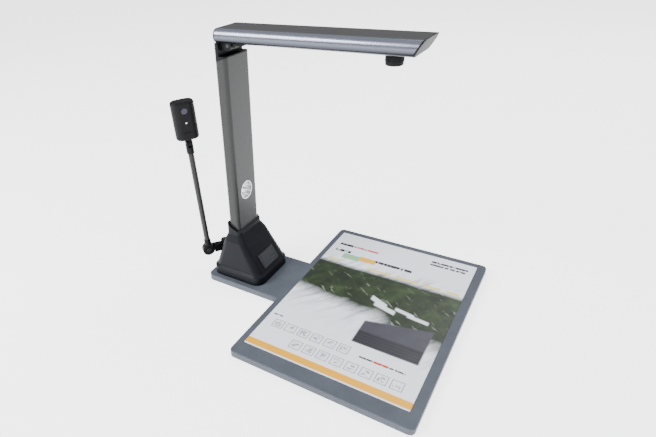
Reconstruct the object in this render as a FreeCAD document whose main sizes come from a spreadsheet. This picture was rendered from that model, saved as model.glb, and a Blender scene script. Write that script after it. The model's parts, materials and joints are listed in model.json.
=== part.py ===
import FreeCAD, Part
import math
import os
import re
import Sketcher

# Book scanner: a T-shaped base board with a document mat, a foot and a flat
# column on its tail, a folding arm that carries the camera over the mat, and a
# side camera on a stalk. Millimetres. The table is at Z = 0, +X runs from the
# column along the arm, and the origin is the middle of the whole footprint.

doc = FreeCAD.newDocument("BookScanner")
sheet = doc.addObject("Spreadsheet::Sheet", "Sizes")
subParts = []
touching = 0.01

driving = {
    # base board and its tail
    "board_wide": 230.8, "board_deep": 329.0, "board_thick": 9.1, "board_corner": 7.0,
    "tail_reach": 121.0, "tail_wide": 97.4, "tail_corner": 10.0, "tail_overlap": 30.0,
    "deck_skin": 2.2, "deck_wall": 2.4, "deck_edge": 1.2, "tray_thick": 1.6, "tray_gap": 0.3,
    "boss_radius": 3.5, "pad_radius": 6.0, "pad_high": 1.6, "pad_inset": 16.0,
    "pad_apart": 13.2, "inset_round": 0.8, "weight_clear": 1.0,
    "weight_long": 70.0, "weight_wide": 50.0, "weight_gap": 0.2,
    # document mat
    "mat_wide": 210.0, "mat_deep": 297.0, "mat_thick": 0.8, "mat_recess": 0.5,
    "mat_corner": 1.5, "mat_left": 9.0, "mat_front": 21.3, "mat_gap": 0.2,
    # foot housing with its slanted collar
    "foot_back": 4.0, "foot_long": 85.0, "foot_wide": 82.0, "foot_corner": 14.0,
    "skirt_high": 12.0, "skirt_step": 3.0, "flare_top": 68.0, "shell_wall": 2.4,
    "collar_wall": 3.2, "collar_round": 7.0, "collar_front": 71.0, "collar_back": 85.0,
    "collar_gap": 0.2, "shoulder_high": 58.0, "shoulder_out": 3.0, "shell_round": 0.7,
    "step_round": 0.5, "plate_wide": 38.0, "plate_tall": 22.0, "plate_thick": 0.8,
    "plate_low": 3.6, "plate_round": 1.5,
    # column socket, circuit board and inlet inside the foot
    "socket_high": 46.0, "socket_wall": 3.0, "socket_floor": 4.0, "socket_base": 62.0,
    "column_gap": 0.15, "circuit_inset": 6.0, "circuit_thick": 1.6, "circuit_long": 26.0,
    "circuit_wide": 66.0, "circuit_high": 8.0, "post_radius": 2.5, "inlet_wide": 12.0,
    "inlet_high": 10.8, "inlet_long": 16.5, "inlet_gap": 0.3, "inlet_wall": 0.8,
    "inlet_round": 0.8, "blade_long": 8.0, "chassis_front": 6.0, "chassis_side": 5.0,
    "chassis_back": 19.0, "chassis_round": 3.0, "socket_screw_low": 15.0,
    "socket_screw_high": 36.0,
    # column
    "column_mid": 39.0, "column_thick": 17.0, "column_wide": 50.0, "column_round": 5.0,
    "tube_wall": 1.8, "column_top": 309.6, "top_slant": 6.0, "head_screw_drop": 15.7143,
    # hinge between column and arm
    "hinge_high": 322.5, "hinge_radius": 5.6, "pin_radius": 2.0, "pin_slack": 0.05,
    "barrel_wide": 24.0, "ear_wide": 6.5, "washer_thick": 0.8, "washer_radius": 4.6,
    "spine_thick": 7.0, "tenon_deep": 22.0, "arm_lift": 3.0, "fold_gap": 0.3,
    "bracket_reach": 19.5, "bracket_drop": 2.5, "bracket_root": 8.5, "bracket_start": 7.0,
    "bracket_wide": 36.0, "bracket_side": 5.0, "screw_rim": 0.6, "slot_half": 6.5,
    "slot_clear": 0.5, "slot_round": 0.5, "base_rise": 1.2,
    # arm
    "arm_long": 243.0, "arm_wide": 54.0, "arm_thick": 16.3, "arm_round": 7.8,
    "arm_back": 14.5, "tip_slant": 9.0, "cap_thick": 2.0, "cap_plug": 6.0, "cap_gap": 0.1,
    "cap_edge": 1.2,
    # camera and lights in the arm, and the pocket that the lens folds into
    "lens_end": 35.0, "lens_radius": 9.2, "lens_drop": 13.0, "lens_wall": 1.6,
    "lens_edge": 1.4, "glass_thick": 1.5, "glass_inset": 2.0, "pocket_radius": 12.0,
    "pocket_deep": 12.0, "pocket_wall": 0.9, "light_wide": 6.0, "light_long": 26.0,
    "light_off": 15.2, "light_round": 1.0, "camera_board": 23.0, "flange_radius": 11.0, "flange_thick": 1.2,
    "iris_radius": 3.0, "sensor_wide": 8.0, "sensor_thick": 1.2, "well_radius": 6.0,
    # side camera: swinging link, stalk and head
    "link_out": 38.8, "link_high": 24.0, "link_long": 27.3, "link_turn": 52.0,
    "link_tall": 12.0, "link_thick": 9.0, "link_round": 0.5, "eye_radius": 6.5,
    "boss_thick": 4.0, "lug_round": 0.2, "cheek_over": 2.0, "pin_cap_thick": 1.2,
    "knuckle_radius": 9.2, "knuckle_proud": 0.3, "joint_gap": 0.3, "stalk_lean": 3.2,
    "knuckle_cap": 3.6, "knuckle_edge": 0.4, "stem_radius": 5.0, "stem_top": 18.0,
    "stem_floor": 1.0,
    "stalk_radius": 4.0, "stalk_wall": 0.9, "stalk_long": 164.0, "neck_radius": 5.2,
    "knob_radius": 5.6, "knob_half": 4.4, "neck_low": 159.0, "neck_high": 173.0,
    "tongue_thick": 3.6, "tongue_wide": 7.28, "tongue_round": 0.3, "neck_bend": 7.0,
    "side_pin": 1.6,
    "head_wide": 31.0, "head_tall": 51.0, "head_deep": 21.0, "head_seam": 1.5,
    "head_corner": 9.5, "head_edge": 3.0, "head_wall": 1.6, "ring_radius": 5.5,
    "ring_wall": 1.2, "ring_deep": 4.0, "ring_high": 39.0, "lamp_radius": 1.1,
    "lamp_high": 24.0, "hole_radius": 0.8, "hole_high": 11.0, "hole_pitch": 3.6,
    "sensor_board": 19.0, "board_gap": 2.0,
    # fasteners
    "screw_radius": 1.25, "screw_head": 2.4, "screw_flat": 1.1, "screw_key": 1.1,
    "screw_key_deep": 0.7, "screw_long": 6.0,
    # how far a cut runs past what it cuts
    "cut_over": 1.0,
}

derived = {
    "lens_reach": "arm_long - arm_back - lens_end",
    "knuckle_thick": "link_thick / 2 + knuckle_proud",
    "deck_low": "pad_high",
    "deck_top": "pad_high + board_thick",
    "deck_inside": "deck_top - deck_skin",
    "lean_out": "link_long + (stalk_long + head_tall) * sin(stalk_lean)",
    "left_reach": "link_out + lean_out * cos(link_turn)"
                  " + (head_wide * cos(link_turn) + head_deep * sin(link_turn)) / 2",
    "right_reach": "tail_reach - column_mid + board_wide",
    "column_x": "(left_reach - right_reach) / 2",
    "tail_left": "column_x - column_mid",
    "board_left": "tail_left + tail_reach",
    "board_x": "board_left + board_wide / 2",
    "tail_x": "tail_left + (tail_reach + tail_overlap) / 2",
    "mat_x": "board_left + mat_left + mat_wide / 2",
    "mat_y": "mat_front + mat_deep / 2 - board_deep / 2",
    "foot_x": "tail_left + foot_back + foot_long / 2",
    "face_x": "column_x + column_thick / 2",
    "hinge_z": "deck_top + hinge_high",
    "arm_low": "hinge_z + arm_lift",
    "arm_left": "face_x - arm_back",
    "lens_x": "face_x + lens_reach",
    "pocket_z": "hinge_z - lens_reach",
    "link_x": "column_x - link_out",
    "link_z": "deck_top + link_high",
    "knuckle_x": "link_x - link_long * cos(link_turn)",
    "knuckle_y": "-link_long * sin(link_turn)",
    "slope_x": "foot_x + foot_long / 2 - skirt_step",
    "slope_run": "slope_x - face_x - collar_gap - collar_wall",
    "slope_rise": "flare_top - skirt_high - skirt_step",
    "slope_long": "sqrt(slope_run ^ 2 + slope_rise ^ 2)",
    "back_x": "foot_x - foot_long / 2 + skirt_step",
    "back_run": "column_x - column_thick / 2 - collar_gap - collar_wall - back_x",
    "circuit_x": "foot_x + foot_long / 2 - circuit_inset - circuit_long / 2",
    "circuit_z": "deck_top + circuit_high",
    "inlet_z": "circuit_z + circuit_thick",
    "inlet_y": "foot_wide / 2 - skirt_step",
    "arm_right": "arm_left + arm_long",
    "arm_z": "arm_low + arm_thick / 2",
    "spine_x": "face_x - column_thick + spine_thick",
    "ear_y": "barrel_wide / 2 + washer_thick + ear_wide / 2",
}


def linked(formula):
    """Put the sheet's name before each of its words in a formula."""
    def named(word):
        return "Sizes." + word[0] if word[0] in driving or word[0] in derived else word[0]
    return re.sub(r"[a-z_]+", named, formula)


def fillSheet():
    rows = list(driving.items()) + [(name, "=" + formula) for name, formula in derived.items()]
    for row, (name, content) in enumerate(rows, start=1):
        sheet.set(f"A{row}", name)
        sheet.set(f"B{row}", str(content))
        sheet.setAlias(f"B{row}", name)
    doc.recompute()


def value(formula):
    return float(sheet.evalExpression(linked(formula)))


def bind(thing, **formulas):
    for path, formula in formulas.items():
        thing.setExpression(path.replace("_", "."), linked(formula))
    return thing


def place(thing, x="0", y="0", z="0", turn=None):
    """Turn a thing, then bind where its own origin lies."""
    if turn:
        thing.Placement = FreeCAD.Placement(FreeCAD.Vector(), turn)
    return bind(thing, Placement_Base_x=x, Placement_Base_y=y, Placement_Base_z=z)


def keep(thing, label):
    """Make a thing one of the sub-parts that are written out."""
    thing.Label = label
    subParts.append(thing)
    return thing


# ---- PartDesign helpers: every sketch is centred on its own origin ----

def newBody(label):
    return keep(doc.addObject("PartDesign::Body", label), label)


def newSketch(body, name, plane="XY", x="0", y="0", z="0"):
    """A sketch on an origin plane; z lies along the plane's normal."""
    sketch = body.newObject("Sketcher::SketchObject", name)
    origin = [item for item in body.Origin.OriginFeatures if item.Role == plane + "_Plane"][0]
    sketch.AttachmentSupport = (origin, [""])
    sketch.MapMode = "FlatFace"
    return bind(sketch, AttachmentOffset_Base_x=x, AttachmentOffset_Base_y=y,
                AttachmentOffset_Base_z=z)


def limit(sketch, name, formula, *constraint):
    """Add a dimension and bind it to the sheet."""
    index = sketch.addConstraint(Sketcher.Constraint(*constraint, value(formula)))
    sketch.renameConstraint(index, name)
    sketch.setExpression("Constraints." + name, linked(formula))


def roundedRectangle(sketch, wide, tall, radius):
    a, b, r = value(wide) / 2, value(tall) / 2, value(radius)
    corners = [(a - r, r - b, -90), (a - r, b - r, 0), (r - a, b - r, 90), (r - a, r - b, 180)]
    ends = [((r - a, -b), (a - r, -b)), ((a, r - b), (a, b - r)),
            ((a - r, b), (r - a, b)), ((-a, b - r), (-a, r - b))]
    for (start, end), (cx, cy, angle) in zip(ends, corners):
        sketch.addGeometry(Part.LineSegment(FreeCAD.Vector(*start), FreeCAD.Vector(*end)))
        round_ = Part.Circle(FreeCAD.Vector(cx, cy), FreeCAD.Vector(0, 0, 1), r)
        sketch.addGeometry(Part.ArcOfCircle(round_, math.radians(angle),
                                            math.radians(angle + 90)))
    for edge in range(8):
        sketch.addConstraint(Sketcher.Constraint("Tangent", edge, 2, (edge + 1) % 8, 1))
    for edge, kind in ((0, "Horizontal"), (2, "Vertical"), (4, "Horizontal"), (6, "Vertical")):
        sketch.addConstraint(Sketcher.Constraint(kind, edge))
    for first, second in ((1, 3), (3, 5), (5, 7)):
        sketch.addConstraint(Sketcher.Constraint("Equal", first, second))
    sketch.addConstraint(Sketcher.Constraint("Symmetric", 1, 3, 5, 3, -1, 1))
    limit(sketch, "Wide", wide, "DistanceX", 6, 1, 2, 1)
    limit(sketch, "Tall", tall, "DistanceY", 0, 1, 4, 1)
    limit(sketch, "Round", radius, "Radius", 1)


def circle(sketch, radius):
    shape = Part.Circle(FreeCAD.Vector(), FreeCAD.Vector(0, 0, 1), value(radius))
    sketch.addGeometry(shape)
    sketch.addConstraint(Sketcher.Constraint("Coincident", 0, 3, -1, 1))
    limit(sketch, "Radius", radius, "Radius", 0)


def polygon(sketch, points):
    """A closed outline whose points are pairs of formulas."""
    numbers = [FreeCAD.Vector(value(x), value(y)) for x, y in points]
    count = len(points)
    for index in range(count):
        sketch.addGeometry(Part.LineSegment(numbers[index], numbers[(index + 1) % count]))
    for index in range(count):
        sketch.addConstraint(Sketcher.Constraint("Coincident", index, 2, (index + 1) % count, 1))
    for index, (x, y) in enumerate(points):
        for axis, formula, kind in (("X", x, "DistanceX"), ("Y", y, "DistanceY")):
            limit(sketch, f"{axis}{index}", formula, kind, -1, 1, index, 1)


def pad(body, sketch, length, middle=False, back=False):
    feature = body.newObject("PartDesign::Pad", "Pad")
    feature.Profile = sketch
    feature.Midplane = middle
    feature.Reversed = back
    bind(feature, Length=length)
    return settle(body, feature, grows=True)


def pocket(body, sketch, depth=None, middle=False, back=False):
    """Cut a sketch into the body; no depth means all the way through."""
    feature = body.newObject("PartDesign::Pocket", "Pocket")
    feature.Profile = sketch
    feature.Midplane = middle
    feature.Reversed = back
    if depth is None:
        feature.Type = 1
    else:
        bind(feature, Length=depth)
    return settle(body, feature, grows=False)


def settle(body, feature, grows):
    """Recompute, and make sure that the feature added or removed something."""
    before = feature.BaseFeature.Shape.Volume if feature.BaseFeature else 0
    doc.recompute()
    after = feature.Shape.Volume
    if grows and after <= before or not grows and after >= before:
        raise RuntimeError(f"{body.Label}: {feature.Name} changed nothing")
    return feature


def roundEdges(body, radius, chosen, kind="Fillet"):
    """Fillet or chamfer the edges of the body's last feature that a test picks."""
    base = body.Tip
    names = [f"Edge{index}" for index, edge in enumerate(base.Shape.Edges, start=1)
             if chosen(edge)]
    feature = body.newObject("PartDesign::" + kind, kind)
    feature.Base = (base, names)
    bind(feature, **{"Radius" if kind == "Fillet" else "Size": radius})
    doc.recompute()
    return feature


def flatAt(height):
    """Edges that lie level at a height."""
    def chosen(edge):
        box = edge.BoundBox
        return abs(box.ZMin - height) < touching and abs(box.ZMax - height) < touching
    return chosen


# ---- Part helpers ----

def cylinder(radius, length, x="0", y="0", z="0", turn=None):
    thing = doc.addObject("Part::Cylinder", "Cylinder")
    bind(thing, Radius=radius, Height=length)
    return place(thing, x, y, z, turn)


def block(wide, deep, tall, x="0", y="0", z="0"):
    """A box centred on x and y, that stands on z."""
    thing = doc.addObject("Part::Box", "Block")
    bind(thing, Length=wide, Width=deep, Height=tall)
    return place(thing, f"{x} - ({wide}) / 2", f"{y} - ({deep}) / 2", z)


def joined(*things):
    result = doc.addObject("Part::MultiFuse", "Joined")
    result.Shapes = list(things)
    result.Refine = True
    return result


def cut(base, *tools):
    for tool in tools:
        result = doc.addObject("Part::Cut", "Cut")
        result.Base = base
        result.Tool = tool
        base = result
    return base


def grouped(label, pieces):
    """Several solids, or a turned one, as one sub-part."""
    group = doc.addObject("Part::Compound", "Group")
    group.Links = pieces
    return keep(group, label)


def screws(label, places, turn=None, long="screw_long"):
    """Socket screws in one node: heads on the local -Z side, shanks along +Z."""
    pieces = []
    for x, y, z in places:
        head = cylinder("screw_head", "screw_flat", z="-screw_flat")
        shank = cylinder("screw_radius", long)
        key = doc.addObject("Part::Prism", "Key")
        key.Polygon = 6
        bind(key, Circumradius="screw_key", Height="screw_key_deep",
             Placement_Base_z="-screw_flat")
        pieces.append(place(cut(joined(head, shank), key), x, y, z, turn))
    return grouped(label, pieces)


toMinusX = FreeCAD.Rotation(FreeCAD.Vector(0, 1, 0), -90)
toPlusX = FreeCAD.Rotation(FreeCAD.Vector(0, 1, 0), 90)
toPlusY = FreeCAD.Rotation(FreeCAD.Vector(1, 0, 0), -90)


# ---- base board ----

bossPlaces = [("board_x + board_wide / 2 - pad_inset", "board_deep / 2 - pad_inset"),
              ("board_x + board_wide / 2 - pad_inset", "pad_inset - board_deep / 2"),
              ("board_x - board_wide / 2 + pad_inset", "board_deep / 2 - pad_inset"),
              ("board_x - board_wide / 2 + pad_inset", "pad_inset - board_deep / 2"),
              ("tail_left + pad_inset", "tail_wide / 2 - pad_inset"),
              ("tail_left + pad_inset", "pad_inset - tail_wide / 2")]


def plateOutline(body, inset, low, thick, action):
    """The T outline in two overlapping plates, each inset from the edge."""
    board = newSketch(body, "Board", x="board_x", z=low)
    roundedRectangle(board, f"board_wide - 2 * ({inset})", f"board_deep - 2 * ({inset})",
                     f"board_corner - inset_round * ({inset})")
    action(body, board, thick, back=action is pocket)
    tail = newSketch(body, "Tail", x="tail_x", z=low)
    roundedRectangle(tail, f"tail_reach + tail_overlap - 2 * ({inset})",
                     f"tail_wide - 2 * ({inset})", f"tail_corner - inset_round * ({inset})")
    action(body, tail, thick, back=action is pocket)


def baseDeck():
    body = newBody("base_deck")
    plateOutline(body, "0", "deck_low", "board_thick", pad)
    roundEdges(body, "deck_edge", flatAt(value("deck_top")))
    plateOutline(body, "deck_wall", "deck_low", "board_thick - deck_skin", pocket)
    for x, y in bossPlaces:
        boss = newSketch(body, "Boss", x=x, y=y, z="deck_low + tray_thick")
        circle(boss, "boss_radius")
        pad(body, boss, "board_thick - deck_skin - tray_thick")
        hole = newSketch(body, "BossHole", x=x, y=y, z="deck_low + tray_thick")
        circle(hole, "screw_radius")
        pocket(body, hole, "screw_long - tray_thick", back=True)
    recess = newSketch(body, "MatRecess", x="mat_x", y="mat_y", z="deck_top")
    roundedRectangle(recess, "mat_wide + 2 * mat_gap", "mat_deep + 2 * mat_gap",
                     "mat_corner + mat_gap")
    pocket(body, recess, "mat_recess")
    for x, y in chassisPlaces:
        hole = newSketch(body, "FootHole", x=x, y=y, z="deck_top")
        circle(hole, "screw_radius")
        pocket(body, hole, "deck_skin")


def baseTray():
    body = newBody("base_tray")
    plateOutline(body, "deck_wall + tray_gap", "deck_low", "tray_thick", pad)
    for x, y in bossPlaces:
        hole = newSketch(body, "Hole", x=x, y=y, z="deck_low")
        circle(hole, "screw_radius")
        pocket(body, hole, "tray_thick", back=True)


def rubberFeet():
    pads = []
    for x, y in bossPlaces:
        inward = " - pad_apart" if x.startswith("board_x + ") else " + pad_apart"
        pads.append(cylinder("pad_radius", "pad_high", x + inward, y))
    grouped("rubber_feet", pads)


def steelWeight():
    plate = block("weight_long", "weight_wide", "deck_inside - deck_low - tray_thick - weight_gap",
                  "column_x", "0", "deck_low + tray_thick")
    bores = [cylinder("screw_head + weight_clear", "board_thick", x, y, "deck_low")
             for x, y in chassisPlaces]
    keep(cut(plate, *bores), "steel_weight")


def documentMat():
    body = newBody("document_mat")
    sheetSketch = newSketch(body, "Sheet", x="mat_x", y="mat_y", z="deck_top - mat_recess")
    roundedRectangle(sheetSketch, "mat_wide", "mat_deep", "mat_corner")
    pad(body, sheetSketch, "mat_thick")


# ---- foot ----

chassisPlaces = [("column_x + socket_base / 2 - chassis_front", "socket_base / 2 - chassis_side"),
                 ("column_x + socket_base / 2 - chassis_front", "chassis_side - socket_base / 2"),
                 ("column_x - chassis_back", "socket_base / 2 - chassis_side"),
                 ("column_x - chassis_back", "chassis_side - socket_base / 2")]


def footSections(inset):
    """Centre, lengths and corner of the housing at each height, from the deck up."""
    collarLong = "column_thick + 2 * collar_gap + 2 * collar_wall"
    collarWide = "column_wide + 2 * collar_gap + 2 * collar_wall"
    full = ("foot_x", "foot_long", "foot_wide", "foot_corner")
    step = ("foot_x", "foot_long - 2 * skirt_step", "foot_wide - 2 * skirt_step",
            "foot_corner - step_round * skirt_step")
    neck = ("column_x", collarLong, collarWide, "collar_round")
    part = "(shoulder_high - skirt_high - skirt_step) / slope_rise"
    shoulder = [f"({low}) + (({high}) - ({low})) * {part}" for low, high in zip(step, neck)]
    shoulder[2] += " + 2 * shoulder_out"
    sections = [(full, "deck_top"), (full, "deck_top + skirt_high"),
                (step, "deck_top + skirt_high + skirt_step"),
                (shoulder, "deck_top + shoulder_high"),
                (neck, "deck_top + flare_top"), (neck, "deck_top + collar_back")]
    return [(x, f"{long} - 2 * {inset}", f"{wide} - 2 * {inset}",
             f"{corner} - shell_round * {inset}", z)
            for (x, long, wide, corner), z in sections]


def loft(body, sections, kind):
    sketches = []
    for x, long, wide, corner, z in sections:
        sketch = newSketch(body, "Section", x=x, z=z)
        roundedRectangle(sketch, long, wide, corner)
        sketches.append(sketch)
    feature = body.newObject("PartDesign::" + kind, "Loft")
    feature.Profile = sketches[0]
    feature.Sections = sketches[1:]
    feature.Ruled = True
    return settle(body, feature, grows=kind == "AdditiveLoft")


def lug(body, low):
    """One of the two ears that the side camera's link turns between."""
    wall = f"back_x + back_run * ({low} + boss_thick / 2 - deck_top - skirt_high - skirt_step)"
    wall += " / slope_rise + shell_wall / 2"
    web = newSketch(body, "LugWeb", x=f"(link_x + {wall}) / 2", z=low)
    roundedRectangle(web, f"{wall} - link_x", "2 * eye_radius", "lug_round")
    pad(body, web, "boss_thick")
    eye = newSketch(body, "LugEye", x="link_x", z=low)
    circle(eye, "eye_radius")
    pad(body, eye, "boss_thick")
    hole = newSketch(body, "LugHole", x="link_x", z=low)
    circle(hole, "side_pin")
    pocket(body, hole, "boss_thick", back=True)


def footHousing():
    body = newBody("foot_housing")
    loft(body, footSections("0"), "AdditiveLoft")
    loft(body, footSections("shell_wall")[:-1], "SubtractiveLoft")
    shaft = newSketch(body, "Shaft", x="column_x", z="deck_top + collar_back")
    roundedRectangle(shaft, "column_thick + 2 * collar_gap", "column_wide + 2 * collar_gap",
                     "column_round + collar_gap")
    pocket(body, shaft, "collar_back - flare_top + 2 * shell_wall")
    # the collar's top slants down towards the mat
    slant = newSketch(body, "Slant", plane="XZ")
    left = "column_x - column_thick / 2 - collar_wall - 2 * cut_over"
    right = "face_x + collar_wall + 2 * cut_over"
    high = "deck_top + collar_back + cut_over"
    polygon(slant, [(left, high), (left, "deck_top + collar_back"),
                    (right, "deck_top + collar_front"), (right, high)])
    pocket(body, slant, "foot_wide", middle=True)
    rear = newSketch(body, "InletHole", plane="XZ", x="circuit_x", y="inlet_z + inlet_high / 2",
                     z="-foot_wide / 2")
    roundedRectangle(rear, "inlet_wide + 2 * inlet_gap", "inlet_high + 2 * inlet_gap",
                     "inlet_round")
    pocket(body, rear, "3 * skirt_step", back=True)
    lug(body, "link_z - link_tall / 2 - joint_gap - boss_thick")
    lug(body, "link_z + link_tall / 2 + joint_gap")


def footChassis():
    body = newBody("foot_chassis")
    plate = newSketch(body, "Plate", x="column_x", z="deck_top")
    roundedRectangle(plate, "socket_base", "socket_base", "chassis_round")
    pad(body, plate, "socket_floor")
    socket = newSketch(body, "Socket", x="column_x", z="deck_top")
    roundedRectangle(socket, "column_thick + 2 * column_gap + 2 * socket_wall",
                     "column_wide + 2 * column_gap + 2 * socket_wall",
                     "column_round + column_gap + socket_wall")
    pad(body, socket, "socket_high")
    hollow = newSketch(body, "Hollow", x="column_x", z="deck_top + socket_high")
    roundedRectangle(hollow, "column_thick + 2 * column_gap", "column_wide + 2 * column_gap",
                     "column_round + column_gap")
    pocket(body, hollow, "socket_high - socket_floor")
    for x, y in chassisPlaces:
        hole = newSketch(body, "Hole", x=x, y=y, z="deck_top")
        circle(hole, "screw_radius")
        pocket(body, hole, "socket_floor", back=True)
    for z in columnScrewHeights:
        hole = newSketch(body, "SideHole", plane="YZ", y=z,
                         z="column_x - column_thick / 2 - column_gap - socket_wall")
        circle(hole, "screw_radius")
        pocket(body, hole, "socket_wall + column_gap", back=True)


def namePlate():
    body = newBody("name_plate")
    plate = newSketch(body, "Plate")
    roundedRectangle(plate, "plate_tall", "plate_wide", "plate_round")
    pad(body, plate, "plate_thick")
    lean = math.degrees(math.atan2(value("slope_rise"), value("slope_run")))
    along = "(plate_low + plate_tall / 2) / slope_long"
    place(body, f"slope_x - slope_run * {along}", "0",
          f"deck_top + skirt_high + skirt_step + slope_rise * {along}",
          FreeCAD.Rotation(FreeCAD.Vector(0, 1, 0), lean))


def footElectronics():
    keep(block("circuit_long", "circuit_wide", "circuit_thick", "circuit_x", "0", "circuit_z"),
         "main_board")
    postX = "circuit_x + circuit_long / 2 - 2 * post_radius"
    posts = [cylinder("post_radius", "circuit_high", postX, y, "deck_top")
             for y in ("-circuit_wide / 2 + 2 * post_radius", "0",
                       "circuit_wide / 2 - 2 * post_radius")]
    grouped("board_posts", posts)
    outer = block("inlet_wide", "inlet_long", "inlet_high", "circuit_x",
                  "inlet_y - inlet_long / 2", "inlet_z")
    mouth = block("inlet_wide - 2 * inlet_wall", "inlet_long - inlet_wall",
                  "inlet_high - 2 * inlet_wall", "circuit_x",
                  "inlet_y - (inlet_long - inlet_wall) / 2", "inlet_z + inlet_wall")
    keep(cut(outer, mouth), "usb_inlet")
    keep(block("inlet_wide / 2", "blade_long", "inlet_high / 3", "circuit_x",
               "inlet_y - inlet_long + inlet_wall + blade_long / 2",
               "inlet_z + inlet_high / 3"), "usb_tongue")


# ---- column ----

columnScrewHeights = ("deck_top + socket_screw_low", "deck_top + socket_screw_high")
headScrewPlaces = ("-column_wide / 4", "column_wide / 4")


def slantBelow(body, low, high):
    """Cut away all that lies below the slanted joint of column and head."""
    left, right = "face_x - column_thick - cut_over", "face_x + cut_over"
    slope = "cut_over * top_slant / column_thick"
    sketch = newSketch(body, "Slant", plane="XZ")
    polygon(sketch, [(left, low), (right, low), (right, f"{high} + {slope}"),
                     (left, f"{high} - top_slant - {slope}")])
    pocket(body, sketch, "2 * column_wide", middle=True)


def columnExtrusion():
    body = newBody("column_extrusion")
    low = "deck_top + socket_floor"
    high = "deck_top + column_top"
    outer = newSketch(body, "Outer", x="column_x", z=low)
    roundedRectangle(outer, "column_thick", "column_wide", "column_round")
    pad(body, outer, "column_top - socket_floor")
    inner = newSketch(body, "Inner", x="column_x", z=high)
    roundedRectangle(inner, "column_thick - 2 * tube_wall", "column_wide - 2 * tube_wall",
                     "column_round - tube_wall")
    pocket(body, inner)
    slant = newSketch(body, "Slant", plane="XZ")
    slope = "cut_over * top_slant / column_thick"
    left, right = "face_x - column_thick - cut_over", "face_x + cut_over"
    polygon(slant, [(left, f"{high} - top_slant - {slope}"), (right, f"{high} + {slope}"),
                    (right, f"{high} + 2 * cut_over"), (left, f"{high} + 2 * cut_over")])
    pocket(body, slant, "2 * column_wide", middle=True)
    lens = newSketch(body, "LensHole", plane="YZ", y="pocket_z", z="face_x")
    circle(lens, "pocket_radius + pocket_wall")
    pocket(body, lens, "tube_wall + cut_over")
    for z in columnScrewHeights:
        hole = newSketch(body, "Hole", plane="YZ", y=z, z="column_x - column_thick / 2")
        circle(hole, "screw_radius")
        pocket(body, hole, "tube_wall + cut_over", back=True)
    for y in headScrewPlaces:
        hole = newSketch(body, "Hole", plane="YZ", x=y, y="deck_top + column_top - head_screw_drop",
                         z="column_x - column_thick / 2")
        circle(hole, "screw_radius")
        pocket(body, hole, "tube_wall + cut_over", back=True)


def lensPocket():
    outer = cylinder("pocket_radius + pocket_wall", "pocket_deep + pocket_wall",
                     "face_x", "0", "pocket_z", toMinusX)
    inner = cylinder("pocket_radius", "pocket_deep + cut_over", "face_x + cut_over", "0",
                     "pocket_z", toMinusX)
    keep(cut(outer, inner), "lens_pocket")


def columnHead():
    body = newBody("column_head")
    low = "deck_top + column_top - top_slant - 2 * cut_over"
    top = "arm_low - fold_gap"
    core = newSketch(body, "Core", x="column_x", z=low)
    roundedRectangle(core, "column_thick", "column_wide", "column_round")
    pad(body, core, f"{top} - ({low})")
    slantBelow(body, f"{low} - top_slant", "deck_top + column_top")
    front = newSketch(body, "Front", plane="XZ")
    ledge = "deck_top + column_top + base_rise"
    polygon(front, [("spine_x", ledge), ("face_x + cut_over", ledge),
                    ("face_x + cut_over", f"{top} + cut_over"), ("spine_x", f"{top} + cut_over")])
    pocket(body, front, "2 * column_wide", middle=True)
    tenon = newSketch(body, "Tenon", x="column_x", z="deck_top + column_top - tenon_deep")
    roundedRectangle(tenon, "column_thick - 2 * tube_wall", "column_wide - 2 * tube_wall",
                     "column_round - tube_wall")
    pad(body, tenon, "tenon_deep")
    for side in ("", "-"):
        middle = f"{side}ear_y"
        web = newSketch(body, "EarWeb", plane="XZ", z=middle)
        root, foot = "spine_x - cut_over", "hinge_z - hinge_radius"
        polygon(web, [(root, foot), ("face_x", foot), ("face_x", top), (root, top)])
        pad(body, web, "ear_wide", middle=True)
        eye = newSketch(body, "Ear", plane="XZ", x="face_x", y="hinge_z", z=middle)
        circle(eye, "hinge_radius")
        pad(body, eye, "ear_wide", middle=True)
    bore = newSketch(body, "Bore", plane="XZ", x="face_x", y="hinge_z")
    circle(bore, "pin_radius")
    pocket(body, bore, "2 * column_wide", middle=True)
    for y in headScrewPlaces:
        hole = newSketch(body, "Hole", plane="YZ", x=y, y="deck_top + column_top - head_screw_drop",
                         z="column_x - column_thick / 2 + tube_wall")
        circle(hole, "screw_radius")
        pocket(body, hole, "screw_long - tube_wall", back=True)


def hinge():
    length = "2 * ear_y + ear_wide"
    keep(cylinder("pin_radius", length, "face_x", f"-({length}) / 2", "hinge_z", toPlusY),
         "hinge_pin")
    washers = []
    for y in ("barrel_wide / 2 + pin_slack", "-barrel_wide / 2 - washer_thick"):
        disc = cylinder("washer_radius", "washer_thick - pin_slack", "face_x", y, "hinge_z", toPlusY)
        bore = cylinder("pin_radius", "washer_thick + cut_over", "face_x", f"{y} - cut_over / 2",
                        "hinge_z", toPlusY)
        washers.append(cut(disc, bore))
    grouped("hinge_washers", washers)


# ---- arm ----

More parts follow.
